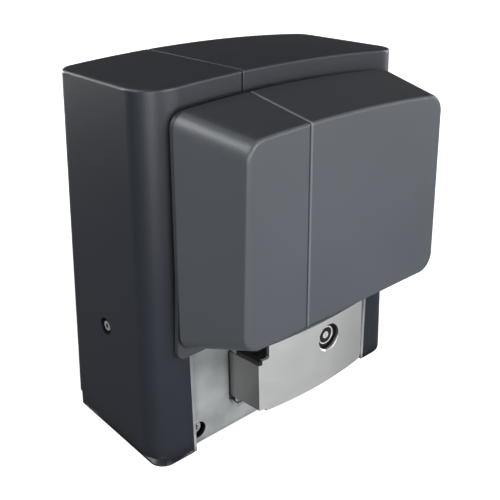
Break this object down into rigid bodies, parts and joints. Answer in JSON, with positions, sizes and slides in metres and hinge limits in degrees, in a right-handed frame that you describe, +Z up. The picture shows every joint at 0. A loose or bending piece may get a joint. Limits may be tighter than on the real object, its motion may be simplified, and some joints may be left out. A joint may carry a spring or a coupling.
{
  "type": "sliding gate motor",
  "caption": "Anthracite sliding gate operator with a crowned housing, a projecting control box, a keyed release lever, a worm gear unit and a rear rack pinion.",
  "frame": {"origin": "on the ground, in the middle of the four foot bolts and of the housing's footprint", "axes": "+Z up, -Y towards the front with the control box and the lever, +Y towards the gate and its rack, +X to the right seen from the front"},
  "size_m": [0.3006, 0.2531, 0.325],
  "materials": {
    "housing_plastic": "fine-grained anthracite moulding",
    "cover_plastic": "fine-grained grey moulding",
    "tray_plastic": "dark grey moulding",
    "black_plastic": "black glass-filled moulding",
    "cast_aluminium": "blasted die casting",
    "lever_metal": "satin machined casting",
    "shell_aluminium": "raw extruded shell",
    "ground_steel": "ground steel",
    "zinc_steel": "zinc-plated steel",
    "lamination_steel": "stacked steel sheet",
    "lock_chrome": "plated lock",
    "bronze": "cut bronze",
    "copper_winding": "varnished copper wire",
    "black_rubber": "moulded rubber",
    "board_laminate": "green board laminate",
    "terminal_plastic": "green terminal moulding",
    "relay_plastic": "blue relay case",
    "can_plastic": "white capacitor can",
    "sleeve_plastic": "black capacitor sleeve"
  },
  "bodies": {
    "chassis": {"control_tray": "tray_plastic", "control_board": "board_laminate", "terminal_blocks": "terminal_plastic", "board_relays": "relay_plastic", "board_capacitor": "sleeve_plastic", "heat_sink": "shell_aluminium", "board_screws": "zinc_steel", "power_shelf": "zinc_steel", "transformer_core": "lamination_steel", "transformer_coil": "copper_winding", "run_capacitor": "can_plastic", "capacitor_clip": "zinc_steel", "gearcase": "cast_aluminium", "gear_cover": "cast_aluminium", "gear_cover_screws": "zinc_steel", "output_bearings": "ground_steel", "worm_bearings": "ground_steel", "shaft_seal": "black_rubber", "motor_shell": "shell_aluminium", "stator_stack": "lamination_steel", "stator_windings": "copper_winding", "motor_lid": "cast_aluminium", "lid_bearing": "ground_steel", "motor_bolts": "zinc_steel", "lock_strike": "zinc_steel", "hinge_pin": "ground_steel", "plate_screws": "zinc_steel", "case_brackets": "zinc_steel", "limit_switch": "black_plastic", "cable_grommet": "black_rubber"},
    "housing": {"top_housing": "housing_plastic", "base_trim": "housing_plastic", "case_screws": "zinc_steel"},
    "cover": {"front_cover": "cover_plastic", "cover_screws": "zinc_steel"},
    "output": {"output_shaft": "ground_steel", "worm_wheel": "bronze", "pinion": "ground_steel", "pinion_key": "ground_steel", "pinion_washer": "zinc_steel", "pinion_screw": "zinc_steel"},
    "rotor": {"worm_shaft": "ground_steel", "rotor_core": "lamination_steel", "magnet_disc": "black_plastic"},
    "lever": {"release_lever": "lever_metal", "lever_core": "black_plastic", "lock_ring": "lock_chrome"},
    "lock": {"lock_barrel": "black_plastic", "lock_core": "lock_chrome", "lock_cam": "zinc_steel"},
    "limit_arm": {"limit_lever": "ground_steel"}
  },
  "joints": [
    {"name": "housing_lift", "type": "slide", "parent": "chassis", "child": "housing", "axis": [0, 0, 1], "range_m": [0, 0.26]},
    {"name": "cover_removal", "type": "slide", "parent": "chassis", "child": "cover", "axis": [0, -1, 0], "range_m": [0, 0.12]},
    {"name": "motor_turn", "type": "hinge", "parent": "chassis", "child": "rotor", "pos_m": [0.0475, 0.008, 0.12], "axis": [0, 0, 1], "continuous": true},
    {"name": "output_turn", "type": "hinge", "parent": "chassis", "child": "output", "pos_m": [0, 0.008, 0.083], "axis": [0, 1, 0], "continuous": true},
    {"name": "lever_swing", "type": "hinge", "parent": "chassis", "child": "lever", "pos_m": [-0.0639, -0.0721, 0.06], "axis": [0, 0, -1], "range_deg": [0, 90]},
    {"name": "lock_turn", "type": "hinge", "parent": "lever", "child": "lock", "pos_m": [0.0165, -0.09, 0.0795], "axis": [0, 1, 0], "range_deg": [0, 90]},
    {"name": "limit_swing", "type": "hinge", "parent": "chassis", "child": "limit_arm", "pos_m": [-0.024, 0.06, 0.138], "axis": [0, 1, 0], "range_deg": [-30, 30], "stiffness_Nm_per_rad": 0.15}
  ],
  "couplings": [
    {"joint": "output_turn", "follows": "motor_turn", "ratio": 0.033333}
  ]
}
